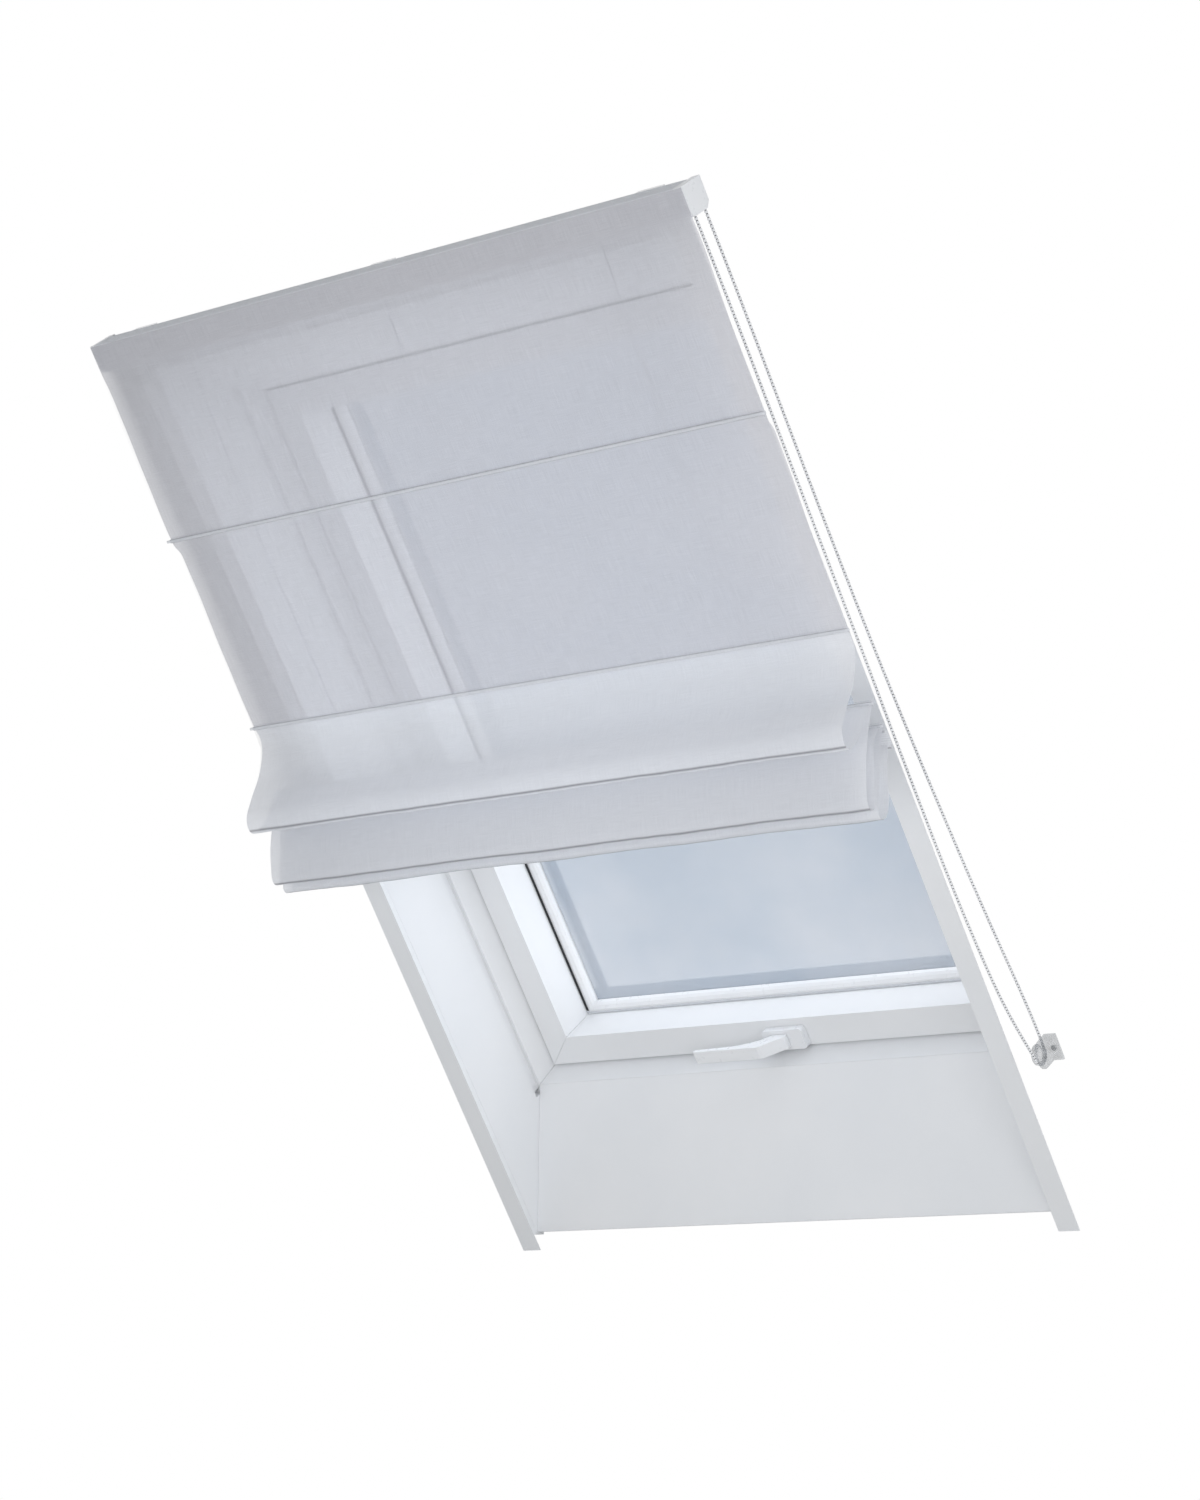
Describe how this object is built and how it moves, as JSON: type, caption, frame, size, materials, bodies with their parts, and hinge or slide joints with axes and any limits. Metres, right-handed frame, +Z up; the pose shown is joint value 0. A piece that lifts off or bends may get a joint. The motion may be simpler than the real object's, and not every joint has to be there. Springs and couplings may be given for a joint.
{
  "type": "roof window with roman blind",
  "caption": "Top-hung roof window with lined reveal and a chain-driven sheer roman blind, part gathered.",
  "frame": {"origin": "middle of the centre ceiling bracket's back face, on the plane of the sloping ceiling", "axes": "+X to the right along the headrail seen from the room, +Y horizontally out of the room, +Z up, with the window at its installed pitch of 55 degrees"},
  "size_m": [1.0748, 1.0026, 1.2654],
  "materials": {
    "white_lacquer": "satin white lacquer on timber and board",
    "white_plastic": "moulded white plastic",
    "white_metal": "white powder coat on aluminium",
    "bright_steel": "zinc-plated steel",
    "cover_metal": "dark grey coated aluminium",
    "dark_rubber": "black weather seal",
    "sheer_fabric": "sheer woven polyester, cool grey",
    "clear_glass": "clear float glass",
    "clear_plastic": "clear moulded plastic"
  },
  "bodies": {
    "window_frame": {"trim_left": "white_lacquer", "trim_right": "white_lacquer", "trim_head": "white_lacquer", "lining_left": "white_lacquer", "lining_right": "white_lacquer", "lining_head": "white_lacquer", "lining_sill": "white_lacquer", "frame_left": "white_lacquer", "frame_right": "white_lacquer", "frame_head": "white_lacquer", "frame_sill": "white_lacquer", "frame_cover": "cover_metal", "hinge_frame_leaf_left": "white_metal", "hinge_frame_leaf_right": "white_metal", "hinge_pin_left": "bright_steel", "hinge_pin_right": "bright_steel", "headrail": "white_metal", "ceiling_bracket_left": "bright_steel", "ceiling_bracket_centre": "bright_steel", "ceiling_bracket_right": "bright_steel", "end_cap_idle": "white_plastic", "drive_housing": "white_plastic", "spool_cradle_left": "white_plastic", "spool_cradle_centre": "white_plastic", "spool_cradle_right": "white_plastic", "chain_tensioner": "clear_plastic", "tensioner_screw": "bright_steel", "bead_chain": "white_plastic", "lift_cord_left": "white_plastic", "lift_cord_centre": "white_plastic", "lift_cord_right": "white_plastic"},
    "sash": {"sash_left": "white_lacquer", "sash_right": "white_lacquer", "sash_head": "white_lacquer", "sash_sill": "white_lacquer", "sash_cover": "cover_metal", "glazing_bead": "white_plastic", "glazing_gasket": "dark_rubber", "glass_inner": "clear_glass", "glass_outer": "clear_glass", "glass_spacer": "bright_steel", "hinge_sash_leaf_left": "white_metal", "hinge_sash_leaf_right": "white_metal", "handle_base": "white_plastic"},
    "handle": {"handle_lever": "white_plastic"},
    "lift_drive": {"lift_shaft": "bright_steel", "chain_wheel": "white_plastic", "cord_spool_left": "white_plastic", "cord_spool_centre": "white_plastic", "cord_spool_right": "white_plastic"},
    "upper_fold": {"fabric_upper": "sheer_fabric"},
    "first_rod": {"rod_1": "white_plastic"},
    "middle_fold": {"fabric_middle": "sheer_fabric"},
    "second_rod": {"rod_2": "white_plastic"},
    "gathered_fold_1": {"fabric_fold_1": "sheer_fabric"},
    "third_rod": {"rod_3": "white_plastic"},
    "gathered_fold_2": {"fabric_fold_2": "sheer_fabric"},
    "fourth_rod": {"rod_4": "white_plastic"},
    "gathered_fold_3": {"fabric_fold_3": "sheer_fabric"},
    "bottom_bar": {"bottom_bar": "white_metal"}
  },
  "joints": [
    {"name": "upper_fold_swell", "type": "slide", "parent": "window_frame", "child": "upper_fold", "axis": [0, -0.9529, -0.3031], "range_m": [0, 0.06705], "deforming": ["fabric_upper"]},
    {"name": "blind_raise", "type": "slide", "parent": "upper_fold", "child": "first_rod", "axis": [0, -0.2917, 0.9565], "range_m": [0, 0.20666], "deforming": ["fabric_middle"]},
    {"name": "middle_fold_swell", "type": "slide", "parent": "first_rod", "child": "middle_fold", "axis": [0, -0.9543, -0.2988], "range_m": [0, 0.07932]},
    {"name": "second_rod_rise", "type": "slide", "parent": "middle_fold", "child": "second_rod", "axis": [0, -0.2976, 0.9547], "range_m": [0, 0.24886]},
    {"name": "fold_1_open", "type": "slide", "parent": "second_rod", "child": "gathered_fold_1", "axis": [0, 0.9533, 0.3021], "range_m": [0, 0.09223], "deforming": ["fabric_fold_1"]},
    {"name": "blind_lower", "type": "slide", "parent": "gathered_fold_1", "child": "third_rod", "axis": [0, 0.128, -0.9918], "range_m": [0, 0.18965]},
    {"name": "fold_2_open", "type": "slide", "parent": "third_rod", "child": "gathered_fold_2", "axis": [0, 0.9871, 0.1604], "range_m": [0, 0.09661], "deforming": ["fabric_fold_2"]},
    {"name": "fourth_rod_drop", "type": "slide", "parent": "gathered_fold_2", "child": "fourth_rod", "axis": [0, 0.2306, -0.973], "range_m": [0, 0.23565]},
    {"name": "fold_3_open", "type": "slide", "parent": "fourth_rod", "child": "gathered_fold_3", "axis": [0, 0.9988, 0.0483], "range_m": [0, 0.08512], "deforming": ["fabric_fold_3"]},
    {"name": "bottom_bar_drop", "type": "slide", "parent": "gathered_fold_3", "child": "bottom_bar", "axis": [0, 0.2859, -0.9583], "range_m": [0, 0.22825]},
    {"name": "drive_turn", "type": "hinge", "parent": "window_frame", "child": "lift_drive", "pos_m": [0, -0.01556, -0.0109], "axis": [1, 0, 0], "range_deg": [-2975, 0]},
    {"name": "sash_hinge", "type": "hinge", "parent": "window_frame", "child": "sash", "pos_m": [0, 0.29946, 0.03695], "axis": [1, 0, 0], "range_deg": [0, 45]},
    {"name": "handle_turn", "type": "hinge", "parent": "sash", "child": "handle", "pos_m": [-0.001, 0.84287, -0.9248], "axis": [0, 0.8192, 0.5736], "range_deg": [0, 90]}
  ],
  "couplings": [
    {"joint": "upper_fold_swell", "follows": "blind_raise", "ratio": 0.32445},
    {"joint": "middle_fold_swell", "follows": "blind_raise", "ratio": 0.38381},
    {"joint": "second_rod_rise", "follows": "blind_raise", "ratio": 1.2042},
    {"joint": "fold_1_open", "follows": "blind_lower", "ratio": 0.48629},
    {"joint": "fold_2_open", "follows": "blind_lower", "ratio": 0.50939},
    {"joint": "fourth_rod_drop", "follows": "blind_lower", "ratio": 1.2425},
    {"joint": "fold_3_open", "follows": "blind_lower", "ratio": 0.44882},
    {"joint": "bottom_bar_drop", "follows": "blind_lower", "ratio": 1.2035},
    {"joint": "drive_turn", "follows": "blind_raise", "rad_per_m": -251.2}
  ]
}
